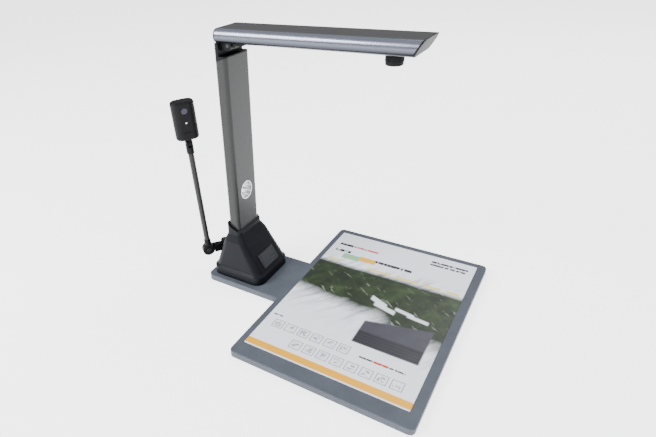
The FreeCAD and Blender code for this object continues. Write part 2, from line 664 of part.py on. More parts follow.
def armBracket():
    body = newBody("arm_bracket")
    barrel = newSketch(body, "Barrel", plane="XZ", x="face_x", y="hinge_z")
    circle(barrel, "hinge_radius")
    pad(body, barrel, "barrel_wide", middle=True)
    web = newSketch(body, "Web", plane="XZ")
    low = "hinge_z - bracket_drop"
    polygon(web, [("face_x", low), ("face_x + bracket_root", low),
                  ("face_x + bracket_root", "arm_low"), ("face_x", "arm_low")])
    pad(body, web, "barrel_wide", middle=True)
    flange = newSketch(body, "Flange", plane="XZ")
    rise = "bracket_drop + fold_gap"
    polygon(flange, [("face_x + bracket_start", low), ("face_x + bracket_root", low),
                     (f"face_x + bracket_root + {rise}", "hinge_z + fold_gap"),
                     ("face_x + bracket_reach", "hinge_z + fold_gap"),
                     ("face_x + bracket_reach", "arm_low"), ("face_x + bracket_start", "arm_low")])
    pad(body, flange, "bracket_wide", middle=True)
    bore = newSketch(body, "Bore", plane="XZ", x="face_x", y="hinge_z")
    circle(bore, "pin_radius + pin_slack")
    pocket(body, bore, "2 * barrel_wide", middle=True)
    for x, y in bracketPlaces:
        sink = newSketch(body, "Sink", x=x, y=y, z="hinge_z + fold_gap")
        circle(sink, "screw_head")
        pocket(body, sink, "screw_flat", back=True)
        hole = newSketch(body, "Hole", x=x, y=y, z="hinge_z")
        circle(hole, "screw_radius")
        pocket(body, hole, "2 * arm_lift", back=True)


bracketPlaces = [("face_x + bracket_reach - screw_head - screw_rim", y)
                 for y in ("bracket_side - bracket_wide / 2", "0",
                           "bracket_wide / 2 - bracket_side")]


def armProfile(body, inset, start, end):
    """The arm's rounded section, inset, padded from one X to another."""
    sketch = newSketch(body, "Profile", plane="YZ", y="arm_z", z=start)
    roundedRectangle(sketch, f"arm_wide - 2 * ({inset})", f"arm_thick - 2 * ({inset})",
                     f"arm_round - ({inset})")
    return pad(body, sketch, f"{end} - ({start})")


def tipWedge(body, back, outside):
    """Cut along the slanted tip, shifted back; outside removes the far part."""
    slope = "cut_over * tip_slant / arm_thick"
    high, low = "arm_low + arm_thick + cut_over", "arm_low - cut_over"
    topX = f"arm_right - {back} + {slope}"
    lowX = f"arm_right - {back} - tip_slant - {slope}"
    far = "arm_right - 2 * tip_slant - 2 * cap_thick - cap_plug"
    if outside:
        far = "arm_right + tip_slant"
    sketch = newSketch(body, "Wedge", plane="XZ")
    polygon(sketch, [(lowX, low), (topX, high), (far, high), (far, low)])
    pocket(body, sketch, "2 * arm_wide", middle=True)


def armExtrusion():
    body = newBody("arm_extrusion")
    start, end = "arm_left + cap_thick", "arm_right"
    armProfile(body, "0", start, end)
    hollow = newSketch(body, "Hollow", plane="YZ", y="arm_z", z=end)
    roundedRectangle(hollow, "arm_wide - 2 * tube_wall", "arm_thick - 2 * tube_wall",
                     "arm_round - tube_wall")
    pocket(body, hollow)
    tipWedge(body, "cap_thick", outside=True)
    slot = newSketch(body, "HingeSlot", x="face_x", z="arm_low")
    roundedRectangle(slot, "2 * slot_half", "2 * ear_y + ear_wide + 2 * slot_clear", "slot_round")
    pocket(body, slot, "tube_wall + cut_over / 2", back=True)
    lens = newSketch(body, "LensHole", x="lens_x", z="arm_low")
    circle(lens, "lens_radius")
    pocket(body, lens, "tube_wall + cut_over / 2", back=True)
    for side in ("", "-"):
        window = newSketch(body, "Window", x="lens_x", y=f"{side}light_off", z="arm_low")
        roundedRectangle(window, "light_long", "light_wide", "light_round")
        pocket(body, window, "tube_wall + cut_over / 2", back=True)
    for x, y in bracketPlaces:
        hole = newSketch(body, "Hole", x=x, y=y, z="arm_low")
        circle(hole, "screw_radius")
        pocket(body, hole, "tube_wall + cut_over / 2", back=True)


def armCaps():
    root = newBody("arm_root_cap")
    armProfile(root, "0", "arm_left", "arm_left + cap_thick")
    roundEdges(root, "cap_edge", lambda edge: edge.BoundBox.XMax < value("arm_left") + touching)
    armProfile(root, "tube_wall + cap_gap", "arm_left + cap_thick",
               "arm_left + cap_thick + cap_plug")
    tip = newBody("arm_tip_cap")
    armProfile(tip, "0", "arm_right - tip_slant - 2 * cap_thick", "arm_right")
    tipWedge(tip, "cap_thick", outside=False)
    armProfile(tip, "tube_wall + cap_gap", "arm_right - tip_slant - cap_thick - cap_plug",
               "arm_right")
    tipWedge(tip, "0", outside=True)


def lensBarrel():
    body = newBody("lens_barrel")
    low = "arm_low - lens_drop"
    tube = newSketch(body, "Tube", x="lens_x", z=low)
    circle(tube, "lens_radius")
    pad(body, tube, "lens_drop + tube_wall")
    roundEdges(body, "lens_edge", flatAt(value(low)))
    flange = newSketch(body, "Flange", x="lens_x", z="arm_low + tube_wall")
    circle(flange, "flange_radius")
    pad(body, flange, "flange_thick")
    bore = newSketch(body, "Bore", x="lens_x", z=low)
    circle(bore, "iris_radius")
    pocket(body, bore, back=True)
    mouth = newSketch(body, "Mouth", x="lens_x", z=low)
    circle(mouth, "lens_radius - lens_wall")
    pocket(body, mouth, "glass_inset + glass_thick", back=True)
    well = newSketch(body, "Well", x="lens_x", z="arm_low + tube_wall + flange_thick")
    circle(well, "well_radius")
    pocket(body, well, "sensor_thick")


def armCamera():
    keep(cylinder("lens_radius - lens_wall", "glass_thick", "lens_x", "0",
                  "arm_low - lens_drop + glass_inset"), "lens_glass")
    top = "arm_low + tube_wall + flange_thick"
    keep(block("camera_board", "camera_board", "circuit_thick", "lens_x", "0", top),
         "camera_board")
    keep(block("sensor_wide", "sensor_wide", "sensor_thick", "lens_x", "0",
               f"{top} - sensor_thick"), "image_sensor")
    windows = []
    boards = []
    for side in ("", "-"):
        windows.append(lightWindow(f"{side}light_off"))
        boards.append(block("light_long", "light_wide", "circuit_thick", "lens_x",
                            f"{side}light_off", "arm_low + tube_wall"))
    grouped("light_windows", windows)
    grouped("light_boards", boards)


def lightWindow(y):
    body = doc.addObject("PartDesign::Body", "Window")
    window = newSketch(body, "Window", x="lens_x", y=y, z="arm_low")
    roundedRectangle(window, "light_long", "light_wide", "light_round")
    pad(body, window, "tube_wall")
    return body


# ---- side camera, built along its own axes and then turned ----

def turned(lean="0"):
    """The link's turn about +Z, with the stalk's lean away from the foot."""
    turn = FreeCAD.Rotation(FreeCAD.Vector(0, 0, 1), value("link_turn"))
    return turn * FreeCAD.Rotation(FreeCAD.Vector(0, 1, 0), -value(lean))


def sideLink():
    body = newBody("side_link")
    eye = newSketch(body, "Eye", z="-link_tall / 2")
    circle(eye, "eye_radius")
    pad(body, eye, "link_tall")
    free = "link_long - knuckle_radius - joint_gap"
    bar = newSketch(body, "Bar", x=f"-({free}) / 2", z="-link_tall / 2")
    roundedRectangle(bar, free, "link_thick", "link_round")
    pad(body, bar, "link_tall")
    cheek = newSketch(body, "Cheek", plane="XZ", x="-link_long + (knuckle_radius + cheek_over) / 2",
                      z="-joint_gap / 2")
    roundedRectangle(cheek, "knuckle_radius + cheek_over", "link_tall", "link_round")
    pad(body, cheek, "link_thick / 2 - joint_gap / 2", back=True)
    disc = newSketch(body, "Disc", plane="XZ", x="-link_long", z="-joint_gap / 2")
    circle(disc, "knuckle_radius")
    pad(body, disc, "knuckle_thick", back=True)
    roundEdges(body, "knuckle_edge", lambda edge: edge.BoundBox.YMin > value("knuckle_thick"))
    upright = newSketch(body, "PinHole", z="link_tall / 2")
    circle(upright, "side_pin + pin_slack")
    pocket(body, upright)
    level = newSketch(body, "LevelHole", plane="XZ", x="-link_long")
    circle(level, "side_pin")
    pocket(body, level, "3 * knuckle_thick", middle=True)
    place(body, "link_x", "0", "link_z", turned())


def sidePins():
    low = "link_tall / 2 + joint_gap + boss_thick"
    keep(cylinder("side_pin", f"2 * ({low})", "link_x", "0", f"link_z - ({low})"), "swing_pin")
    shaft = cylinder("side_pin", "2 * knuckle_thick + joint_gap + pin_slack",
                     y="-knuckle_thick - joint_gap / 2 - pin_slack", turn=toPlusY)
    cap = cylinder("knuckle_cap", "pin_cap_thick", turn=toPlusY,
                   y="-knuckle_thick - joint_gap / 2 - pin_slack - pin_cap_thick")
    pin = joined(shaft, cap)
    keep(place(pin, "knuckle_x", "knuckle_y", "link_z", turned()), "knuckle_pin")


def stalkHub():
    body = newBody("stalk_hub")
    disc = newSketch(body, "Disc", plane="XZ", z="joint_gap / 2")
    circle(disc, "knuckle_radius")
    pad(body, disc, "knuckle_thick")
    roundEdges(body, "knuckle_edge", lambda edge: edge.BoundBox.YMax < value("-knuckle_thick"))
    root = newSketch(body, "Root", y="-(knuckle_thick + joint_gap) / 2")
    circle(root, "knuckle_thick / 2")
    pad(body, root, "knuckle_radius + 2 * joint_gap + stem_floor")
    stem = newSketch(body, "Stem", y="-(knuckle_thick + joint_gap) / 2",
                     z="knuckle_radius + 2 * joint_gap")
    circle(stem, "stem_radius")
    pad(body, stem, "stem_top - knuckle_radius - 2 * joint_gap")
    bore = newSketch(body, "Bore", y="-(knuckle_thick + joint_gap) / 2", z="stem_top")
    circle(bore, "stalk_radius")
    pocket(body, bore, "stem_top - knuckle_radius - 2 * joint_gap - stem_floor")
    level = newSketch(body, "LevelHole", plane="XZ")
    circle(level, "side_pin + pin_slack")
    pocket(body, level, "3 * knuckle_thick", middle=True)
    place(body, "knuckle_x", "knuckle_y", "link_z", turned("stalk_lean"))


def stalkTube():
    low = "knuckle_radius + 2 * joint_gap + stem_floor"
    side = "-(knuckle_thick + joint_gap) / 2"
    outer = cylinder("stalk_radius", f"stalk_long - ({low})", "0", side, low)
    inner = cylinder("stalk_radius - stalk_wall", "stalk_long", "0", side, "0")
    keep(place(cut(outer, inner), "knuckle_x", "knuckle_y", "link_z", turned("stalk_lean")),
         "stalk_tube")


def stalkNeck():
    body = newBody("stalk_neck")
    side = "-(knuckle_thick + joint_gap) / 2"
    collar = newSketch(body, "Collar", y=side, z="neck_low")
    circle(collar, "neck_radius")
    pad(body, collar, "neck_high - neck_low")
    knob = newSketch(body, "Knob", plane="YZ", x=side, y="neck_high")
    circle(knob, "knob_radius")
    pad(body, knob, "2 * knob_half", middle=True)
    slot = newSketch(body, "Slot", plane="YZ", x=side, y="neck_high + joint_gap")
    roundedRectangle(slot, "4 * knob_radius", "2 * (neck_radius + joint_gap)", "slot_round")
    pocket(body, slot, "tongue_thick + 2 * joint_gap", middle=True)
    bore = newSketch(body, "Bore", y=side, z="neck_low")
    circle(bore, "stalk_radius")
    pocket(body, bore, "stalk_long - neck_low", back=True)
    level = newSketch(body, "LevelHole", plane="YZ", x=side, y="neck_high")
    circle(level, "side_pin")
    pocket(body, level, "3 * neck_radius", middle=True)
    place(body, "knuckle_x", "knuckle_y", "link_z", turned("stalk_lean"))


def neckPoint(up="0"):
    """Where the head's pivot lies, or a point above it along the stalk."""
    side = -(value("knuckle_thick") + value("joint_gap")) / 2
    offset = FreeCAD.Vector(0, side, value("neck_high") + value(up))
    knuckle = FreeCAD.Vector(value("knuckle_x"), value("knuckle_y"), value("link_z"))
    return knuckle + turned("stalk_lean").multVec(offset)


def atHead(thing):
    thing.Placement = FreeCAD.Placement(neckPoint(), turned("stalk_lean"))
    return thing


def headShell(label, near, far):
    """Half of the head, hollow: an upright barrel that is cut away between two depths."""
    body = newBody(label)
    plan = newSketch(body, "Plan", z="neck_bend")
    roundedRectangle(plan, "head_wide", "head_deep", "head_corner")
    pad(body, plan, "head_tall")
    low, high = value("neck_bend"), value("neck_bend + head_tall")
    roundEdges(body, "head_edge", lambda edge: flatAt(low)(edge) or flatAt(high)(edge))
    cavity = newSketch(body, "Cavity", z="neck_bend + head_tall - head_wall")
    roundedRectangle(cavity, "head_wide - 2 * head_wall", "head_deep - 2 * head_wall",
                     "head_corner - head_wall")
    pocket(body, cavity, "head_tall - 2 * head_wall")
    other = newSketch(body, "OtherHalf", z="neck_bend + head_tall + head_wall")
    polygon(other, [("-head_wide", near), ("head_wide", near), ("head_wide", far),
                    ("-head_wide", far)])
    pocket(body, other, "head_tall + 2 * head_wall")
    return body


def sideHead():
    front = headShell("head_front", "head_seam", "head_deep")
    ring = newSketch(front, "RingHole", plane="XZ", y="neck_bend + ring_high", z="head_deep / 2")
    circle(ring, "ring_radius")
    pocket(front, ring, "2 * head_wall")
    lamp = newSketch(front, "LampHole", plane="XZ", y="neck_bend + lamp_high", z="head_deep / 2")
    circle(lamp, "lamp_radius")
    pocket(front, lamp, "2 * head_wall")
    for x in ("-hole_pitch", "0", "hole_pitch"):
        hole = newSketch(front, "SoundHole", plane="XZ", x=x, y="neck_bend + hole_high",
                         z="head_deep / 2")
        circle(hole, "hole_radius")
        pocket(front, hole, "2 * head_wall")
    atHead(front)
    rear = headShell("head_rear", "-head_deep", "head_seam")
    atHead(rear)
    tongueBody = newBody("head_tongue")
    disc = newSketch(tongueBody, "Disc", plane="YZ")
    circle(disc, "neck_radius")
    pad(tongueBody, disc, "tongue_thick", middle=True)
    web = newSketch(tongueBody, "Web", plane="YZ", y="neck_bend / 2")
    roundedRectangle(web, "tongue_wide", "neck_bend", "tongue_round")
    pad(tongueBody, web, "tongue_thick", middle=True)
    level = newSketch(tongueBody, "LevelHole", plane="YZ")
    circle(level, "side_pin + pin_slack")
    pocket(tongueBody, level, "2 * tongue_thick", middle=True)
    atHead(tongueBody)


def sideHeadParts():
    """Lens, lamp, board and pin, all laid out from the head's pivot."""
    front = "-head_deep / 2"
    high = "neck_bend + ring_high"
    outer = cylinder("ring_radius", "ring_deep", "0", front, high, toPlusY)
    inner = cylinder("ring_radius - ring_wall", "2 * ring_deep", "0", f"{front} - cut_over",
                     high, toPlusY)
    atHead(grouped("head_lens_ring", [cut(outer, inner)]))
    glass = cylinder("ring_radius - ring_wall", "ring_deep - ring_wall", "0",
                     f"{front} + ring_wall", high, toPlusY)
    atHead(grouped("head_lens_glass", [glass]))
    lamp = cylinder("lamp_radius", "ring_deep", "0", front, "neck_bend + lamp_high", toPlusY)
    atHead(grouped("head_lamp", [lamp]))
    board = block("sensor_board", "circuit_thick",
                  "head_tall - 2 * head_wall - 2 * board_gap", "0",
                  f"{front} + ring_deep + circuit_thick / 2", "neck_bend + head_wall + board_gap")
    atHead(grouped("head_board", [board]))
    pin = cylinder("side_pin", "2 * knob_half", "-knob_half", "0", "0", toPlusX)
    atHead(grouped("neck_pin", [pin]))


# ---- fasteners ----

def fasteners():
    screws("tray_screws", [(x, y, "deck_low") for x, y in bossPlaces])
    screws("foot_screws", [(x, y, "deck_inside") for x, y in chassisPlaces])
    screws("column_screws", [("column_x - column_thick / 2 - column_gap - socket_wall", "0", z)
                             for z in columnScrewHeights], toPlusX, "socket_wall + tube_wall")
    screws("head_screws", [("column_x - column_thick / 2", y,
                            "deck_top + column_top - head_screw_drop")
                           for y in headScrewPlaces], toPlusX)
    screws("bracket_screws", [(x, y, "hinge_z + fold_gap + screw_flat") for x, y in bracketPlaces],
           long="arm_lift - fold_gap - screw_flat + tube_wall")


def check():
    doc.recompute()
    failed = [thing.Label for thing in doc.Objects
              if "Invalid" in thing.State or "Error" in thing.State]
    failed += [thing.Label for thing in subParts
               if thing.Shape.isNull() or not thing.Shape.isValid()]
    if failed:
        raise RuntimeError("failed: " + ", ".join(failed))


def writeSteps():
    os.makedirs("parts", exist_ok=True)
    for thing in subParts:
        thing.Shape.exportStep(f"parts/{thing.Label}.step")
        print(thing.Label, len(thing.Shape.Solids), round(thing.Shape.Volume, 1))


fillSheet()
for build in (baseDeck, baseTray, rubberFeet, steelWeight, documentMat, footHousing,
              footChassis, namePlate, footElectronics, columnExtrusion, lensPocket, columnHead,
              hinge, armBracket, armExtrusion, armCaps, lensBarrel, armCamera, sideLink,
              sidePins, stalkHub, stalkTube, stalkNeck, sideHead, sideHeadParts, fasteners):
    build()
check()
writeSteps()
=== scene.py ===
import json
import math
import bpy
from mathutils import Matrix, Vector

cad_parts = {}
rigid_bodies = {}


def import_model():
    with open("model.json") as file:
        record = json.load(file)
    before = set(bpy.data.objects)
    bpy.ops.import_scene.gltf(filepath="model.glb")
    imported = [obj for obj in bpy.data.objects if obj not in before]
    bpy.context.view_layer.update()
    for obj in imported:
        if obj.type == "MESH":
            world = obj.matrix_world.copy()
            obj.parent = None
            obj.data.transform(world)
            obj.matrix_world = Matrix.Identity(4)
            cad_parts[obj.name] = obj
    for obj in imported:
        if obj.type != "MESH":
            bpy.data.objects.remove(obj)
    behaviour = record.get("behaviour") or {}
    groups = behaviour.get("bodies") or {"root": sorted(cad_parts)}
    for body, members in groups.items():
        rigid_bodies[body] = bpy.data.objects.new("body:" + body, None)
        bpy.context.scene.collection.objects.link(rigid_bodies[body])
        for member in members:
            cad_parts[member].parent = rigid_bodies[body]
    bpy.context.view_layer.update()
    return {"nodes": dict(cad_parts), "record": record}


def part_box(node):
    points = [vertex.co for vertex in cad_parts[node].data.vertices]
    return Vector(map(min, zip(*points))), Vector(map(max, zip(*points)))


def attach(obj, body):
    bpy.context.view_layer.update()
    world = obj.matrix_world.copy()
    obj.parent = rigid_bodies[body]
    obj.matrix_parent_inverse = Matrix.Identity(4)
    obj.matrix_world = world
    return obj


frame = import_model()
nodes = frame["nodes"]
mm = 0.001

view = {
    "lens": 27.49, "shift": (0.1098, 0.0326),
    "turn": (58.05, 2.979, 33.014),                 # degrees
    "fromSheetCorner": (284.15, -368.02, 437.08),   # mm from the sheet's near left corner
    "clipStart": 0.01,
}
studio = {
    # place in metres, size in metres, power in watts
    "key": ((-1.1, -1.4, 1.35), 1.1, 66),
    "fill": ((1.2, -1.1, 1.6), 1.5, 22),
    "back": ((0.4, 1.5, 1.9), 1.6, 30),
    "aim": (0, 0, 0.12), "skyLow": 0.16, "skyHigh": 0.8, "skyTint": (0.93, 0.95, 1.0),
    "skyTurn": 0.6,
    "floor": (0.96, 0.96, 0.965), "floorGlow": 2.4, "floorHalf": 12, "floorRough": 0.9,
    "floorClouds": 6, "floorShade": 0.985,
}


def addCamera():
    low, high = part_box("document_mat")
    corner = Vector((low[0], low[1], high[2]))
    data = bpy.data.cameras.new("viewer")
    camera = bpy.data.objects.new("viewer", data)
    bpy.context.scene.collection.objects.link(camera)
    camera.location = corner + Vector(view["fromSheetCorner"]) * mm
    camera.rotation_euler = [math.radians(angle) for angle in view["turn"]]
    data.lens = view["lens"]
    data.shift_x, data.shift_y = view["shift"]
    data.clip_start = view["clipStart"]
    bpy.context.scene.camera = camera


def addLight(name):
    place, size, power = studio[name]
    data = bpy.data.lights.new(name, "AREA")
    data.shape = "DISK"
    data.size = size
    data.energy = power
    lamp = bpy.data.objects.new(name, data)
    bpy.context.scene.collection.objects.link(lamp)
    lamp.location = place
    aim = Vector(studio["aim"]) - Vector(place)
    lamp.rotation_euler = aim.to_track_quat("-Z", "Y").to_euler()


def addSky(tree):
    # soft overhead light that falls off towards the horizon
    backdrop = tree.nodes["Background"]
    backdrop.inputs["Color"].default_value = (*studio["skyTint"], 1)
    direction = tree.nodes.new("ShaderNodeTexCoord")
    split = tree.nodes.new("ShaderNodeSeparateXYZ")
    fall = tree.nodes.new("ShaderNodeMapRange")
    fall.inputs["From Max"].default_value = studio["skyTurn"]
    fall.inputs["To Min"].default_value = studio["skyLow"]
    fall.inputs["To Max"].default_value = studio["skyHigh"]
    tree.links.new(direction.outputs["Generated"], split.inputs[0])
    tree.links.new(split.outputs["Z"], fall.inputs["Value"])
    tree.links.new(fall.outputs[0], backdrop.inputs["Strength"])


def addStudio():
    for name in ("key", "fill", "back"):
        addLight(name)
    world = bpy.data.worlds.new("studio")
    bpy.context.scene.world = world
    world.use_nodes = True
    addSky(world.node_tree)
    half = studio["floorHalf"]
    mesh = bpy.data.meshes.new("floor")
    corners = [(-half, -half, 0), (half, -half, 0), (half, half, 0), (-half, half, 0)]
    mesh.from_pydata(corners, [], [(0, 1, 2, 3)])
    floor = bpy.data.objects.new("floor", mesh)
    bpy.context.scene.collection.objects.link(floor)
    mesh.materials.append(floorPaper())


wear = {"flat": 0.985, "sharp": 0.9, "scale": 90, "detail": 4, "roughness": 0.65,
        "patchLow": 0.42, "patchHigh": 0.62, "samples": 4}


class Socket:
    # one output of a node, which adds, multiplies and compares like a number
    def __init__(self, graph, out):
        self.graph = graph
        self.out = out

    def __add__(self, other):
        return self.graph.maths("ADD", self, other)

    def __sub__(self, other):
        return self.graph.maths("SUBTRACT", self, other)

    def __rsub__(self, other):
        return self.graph.maths("SUBTRACT", other, self)

    def __mul__(self, other):
        return self.graph.maths("MULTIPLY", self, other)

    def __truediv__(self, other):
        return self.graph.maths("DIVIDE", self, other)

    def __gt__(self, other):
        return self.graph.maths("GREATER_THAN", self, other)

    def __lt__(self, other):
        return self.graph.maths("LESS_THAN", self, other)

    __radd__ = __add__
    __rmul__ = __mul__


class Graph:
    # the node tree of one material
    def __init__(self, name):
        self.material = bpy.data.materials.new(name)
        self.material.use_nodes = True
        self.tree = self.material.node_tree
        self.tree.nodes.clear()
        self.shader = self.tree.nodes.new("ShaderNodeBsdfPrincipled")
        output = self.tree.nodes.new("ShaderNodeOutputMaterial")
        self.tree.links.new(self.shader.outputs[0], output.inputs["Surface"])
        self.place = self.node("TexCoord", out="Object")

    def feed(self, entry, value):
        if isinstance(value, Socket):
            self.tree.links.new(value.out, entry)
        elif hasattr(value, "__len__") and len(value) < len(entry.default_value):
            entry.default_value = (*value, 1)
        else:
            entry.default_value = value

    def node(self, kind, settings=None, values=None, out=0):
        # any node: its settings first, then its values or links by name or number
        node = self.tree.nodes.new("ShaderNode" + kind)
        for name, value in (settings or {}).items():
            setattr(node, name, value)
        for name, value in (values or {}).items():
            self.feed(node.inputs[name], value)
        return Socket(self, node.outputs[out])

    def maths(self, operation, *values, clamp=False):
        return self.node("Math", {"operation": operation, "use_clamp": clamp},
                         dict(enumerate(values)))

    def mix(self, factor, first, second):
        return self.node("Mix", {"data_type": "RGBA"}, {0: factor, 6: first, 7: second}, 2)

    def ramp(self, value, low, high, start=0.0, end=1.0):
        return self.node("MapRange", {"clamp": True},
                         {"Value": value, "From Min": low, "From Max": high,
                          "To Min": start, "To Max": end})

    def noise(self, scale, detail=3.0, roughness=0.5, place=None):
        return self.node("TexNoise", values={"Vector": place or self.place, "Scale": scale,
                                             "Detail": detail, "Roughness": roughness})

    def mapped(self, factors, turn=(0, 0, 0)):
        angles = [math.radians(angle) for angle in turn]
        turned = self.node("Mapping", values={"Vector": self.place, "Rotation": angles})
        return self.node("Mapping", values={"Vector": turned, "Scale": factors})

    def axes(self):
        return [self.node("SeparateXYZ", values={0: self.place}, out=axis) for axis in range(3)]

    def band(self, value, low, high, soft=0.35):
        # 1 inside a range, with soft edges
        rise = self.ramp(value, low - soft, low + soft)
        return rise * self.ramp(value, high + soft, high - soft)

    def rounded(self, radius):
        # the normal with each sharp edge rounded over
        return self.node("Bevel", {"samples": wear["samples"]}, {"Radius": radius})

    def edges(self, normal):
        # 1 along worn edges, broken up by noise
        flat = self.node("NewGeometry", out="Normal")
        match = self.node("VectorMath", {"operation": "DOT_PRODUCT"}, {0: normal, 1: flat}, "Value")
        patches = self.noise(wear["scale"], wear["detail"], wear["roughness"])
        broken = self.ramp(patches, wear["patchLow"], wear["patchHigh"])
        return self.ramp(match, wear["flat"], wear["sharp"]) * broken

    def bump(self, height, distance, normal=None):
        values = {"Height": height, "Distance": distance}
        if normal:
            values["Normal"] = normal
        return self.node("Bump", values=values)

    def finish(self, **values):
        for name, value in values.items():
            self.feed(self.shader.inputs[name.replace("_", " ")], value)
        return self.material


def shade(colour, factor):
    return tuple(channel * factor for channel in colour)


def floorPaper():
    # a pale seamless sheet that glows a little, so that it stays even
    graph = Graph("floorPaper")
    clouds = graph.noise(studio["floorClouds"])
    tint = graph.mix(clouds, studio["floor"], shade(studio["floor"], studio["floorShade"]))
    return graph.finish(Base_Color=tint, Roughness=studio["floorRough"], Emission_Color=tint,
                        Emission_Strength=studio["floorGlow"])


plastics = {
    # colour, roughness, grain per metre, grain depth in mm, edge rounding in mm
    "deck": ((0.075, 0.085, 0.104), 0.5, 1500, 0.05, 0.5),
    "tray": ((0.02, 0.021, 0.023), 0.62, 1800, 0.05, 0.3),
    "foot": ((0.003, 0.0038, 0.0062), 0.5, 1700, 0.045, 0.5),
    "black_plastic": ((0.003, 0.0033, 0.0045), 0.5, 2000, 0.035, 0.3),
    "head": ((0.004, 0.004, 0.0052), 0.52, 1900, 0.045, 0.4),
}


moulding = {
    "patchScale": 28, "roughness": 0.6, "dark": 0.88, "pale": 1.12, "specular": 0.14,
    "dustScale": 0.45, "dust": 0.16, "dustShade": 1.9, "wear": 0.5, "wearShade": 3.2,
    "glossBelow": 0.05, "glossAbove": 0.07, "wearGloss": 0.1,
}


def moulded(name):
    # spark-eroded grain, uneven gloss, dust in the grain and paler worn edges
    colour, rough, grain, depth, edge = plastics[name]
    look = moulding
    graph = Graph(name)
    fine = graph.noise(grain, 2, look["roughness"])
    patches = graph.noise(look["patchScale"], 4, look["roughness"])
    soft = graph.rounded(edge * mm)
    worn = graph.edges(soft)
    tint = graph.mix(graph.ramp(patches, 0.35, 0.7), shade(colour, look["dark"]),
                     shade(colour, look["pale"]))
    dust = graph.ramp(graph.noise(grain * look["dustScale"], 1), 0.62, 0.8, 0, look["dust"])
    tint = graph.mix(dust, tint, shade(colour, look["dustShade"]))
    tint = graph.mix(worn * look["wear"], tint, shade(colour, look["wearShade"]))
    gloss = graph.ramp(patches, 0.3, 0.75, rough - look["glossBelow"], rough + look["glossAbove"])
    return graph.finish(Base_Color=tint, Roughness=gloss - worn * look["wearGloss"],
                        Specular_IOR_Level=look["specular"],
                        Normal=graph.bump(fine, depth * mm, soft))


metals = {
    # colour, metallic, roughness, axis of the drawing lines, line depth and edge in mm
    "column": ((0.017, 0.0185, 0.018), 0.15, 0.3, 2, 0.003, 0.4),
    "steel": ((0.045, 0.045, 0.048), 0.8, 0.35, 1, 0.004, 0.3),
    "screw": ((0.04, 0.04, 0.042), 0.8, 0.34, 2, 0.004, 0.15),
}
drawing = {
    # lines per metre across and along the drawing, and how much they and the wear show
    "across": 900.0, "along": 6.0, "roughness": 0.6, "dark": 0.9, "pale": 1.1, "cloudScale": 14,
    "cloud": 0.25, "cloudShade": 0.75, "wear": 0.5, "wearShade": 3, "glossBelow": 0.04,
    "glossAbove": 0.06, "specular": 0.3,
}


def drawLines(graph, along):
    factors = [drawing["across"]] * 3
    factors[along] = drawing["along"]
    return graph.noise(1.0, 3, drawing["roughness"], graph.mapped(factors))


def drawn(name):
    # drawn metal with fine lines along its length
    colour, metallic, rough, along, depth, edge = metals[name]
    look = drawing
    graph = Graph(name)
    lines = drawLines(graph, along)
    cloud = graph.ramp(graph.noise(look["cloudScale"]), 0.4, 0.75, 0, look["cloud"])
    soft = graph.rounded(edge * mm)
    worn = graph.edges(soft)
    tint = graph.mix(graph.ramp(lines, 0.3, 0.7), shade(colour, look["dark"]),
                     shade(colour, look["pale"]))
    tint = graph.mix(cloud, tint, shade(colour, look["cloudShade"]))
    tint = graph.mix(worn * look["wear"], tint, shade(colour, look["wearShade"]))
    gloss = graph.ramp(lines, 0.25, 0.75, rough - look["glossBelow"], rough + look["glossAbove"])
    return graph.finish(Base_Color=tint, Metallic=metallic, Roughness=gloss,
                        Specular_IOR_Level=look["specular"],
                        Normal=graph.bump(lines, depth * mm, soft))


armFinish = {
    # the top colour is a painted dark reflection and the side colour a painted highlight on the
    # rounded edges
    "top": (0.038, 0.032, 0.025), "side": (0.21, 0.225, 0.28), "paintedShadeBelow": (0.012, 0.013, 0.017),
    # the colour below is painted shade; the first two distances set where this painted shade at the
    # bottom turns into the painted highlight near the top
    "dark": 2.5, "paintedHighlightBelowTop": 3.5, "round": 6.2, "fade": 1.2,        # mm from the edges
    "roughTop": 0.2, "roughSide": 0.26, "lineDepth": 0.002, "metallic": 0.85,
    "edge": 0.3, "lines": 0.22, "lineShade": 0.3, "wear": 0.4, "wearShade": 2,
    "smearScale": 26, "smear": 0.08,
}


def armMetal():
    # a dark glossy top between two anodised rounded edges; the top's dark colour is a painted
    # reflection, the edges' bright colour a painted highlight, and the lower part and the underside
    # get painted shade
    graph = Graph("arm")
    look = armFinish
    low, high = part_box("arm_extrusion")
    x, y, z = graph.axes()
    nearEdge = (y - low[1]) / mm
    farEdge = (high[1] - y) / mm
    inside = graph.maths("MINIMUM", nearEdge, farEdge)
    # this mask picks out the rounded edges, which take the painted highlight colour
    side = graph.ramp(inside, look["round"] + look["fade"], look["round"] - look["fade"])
    lines = drawLines(graph, 0)
    soft = graph.rounded(look["edge"] * mm)
    worn = graph.edges(soft)
    # painted shade: the colour darkens from the painted highlight near the top to the dark colour
    # at the bottom of the arm
    paintedShadeByHeight = graph.ramp(z, low[2] + look["dark"] * mm, high[2] - look["paintedHighlightBelowTop"] * mm)
    tint = graph.mix(side, look["top"], graph.mix(paintedShadeByHeight, look["paintedShadeBelow"], look["side"]))
    streaks = graph.ramp(lines, 0.3, 0.7, 0, look["lines"])
    tint = graph.mix(streaks, tint, shade(look["side"], look["lineShade"]))
    tint = graph.mix(worn * look["wear"], tint, shade(look["side"], look["wearShade"]))
    smear = graph.ramp(graph.noise(look["smearScale"], 4, 0.6), 0.35, 0.75, 0, look["smear"])
    gloss = graph.ramp(side, 0, 1, look["roughTop"], look["roughSide"]) + smear
    return graph.finish(Base_Color=tint, Metallic=look["metallic"], Roughness=gloss,
                        Normal=graph.bump(lines, look["lineDepth"] * mm, soft))


pocketFinish = {"dark": (0.74, 0.75, 0.77), "pale": (0.82, 0.83, 0.84), "rings": 700.0,
                "wobble": 0.4, "rough": (0.16, 0.24), "ringDepth": 0.002}


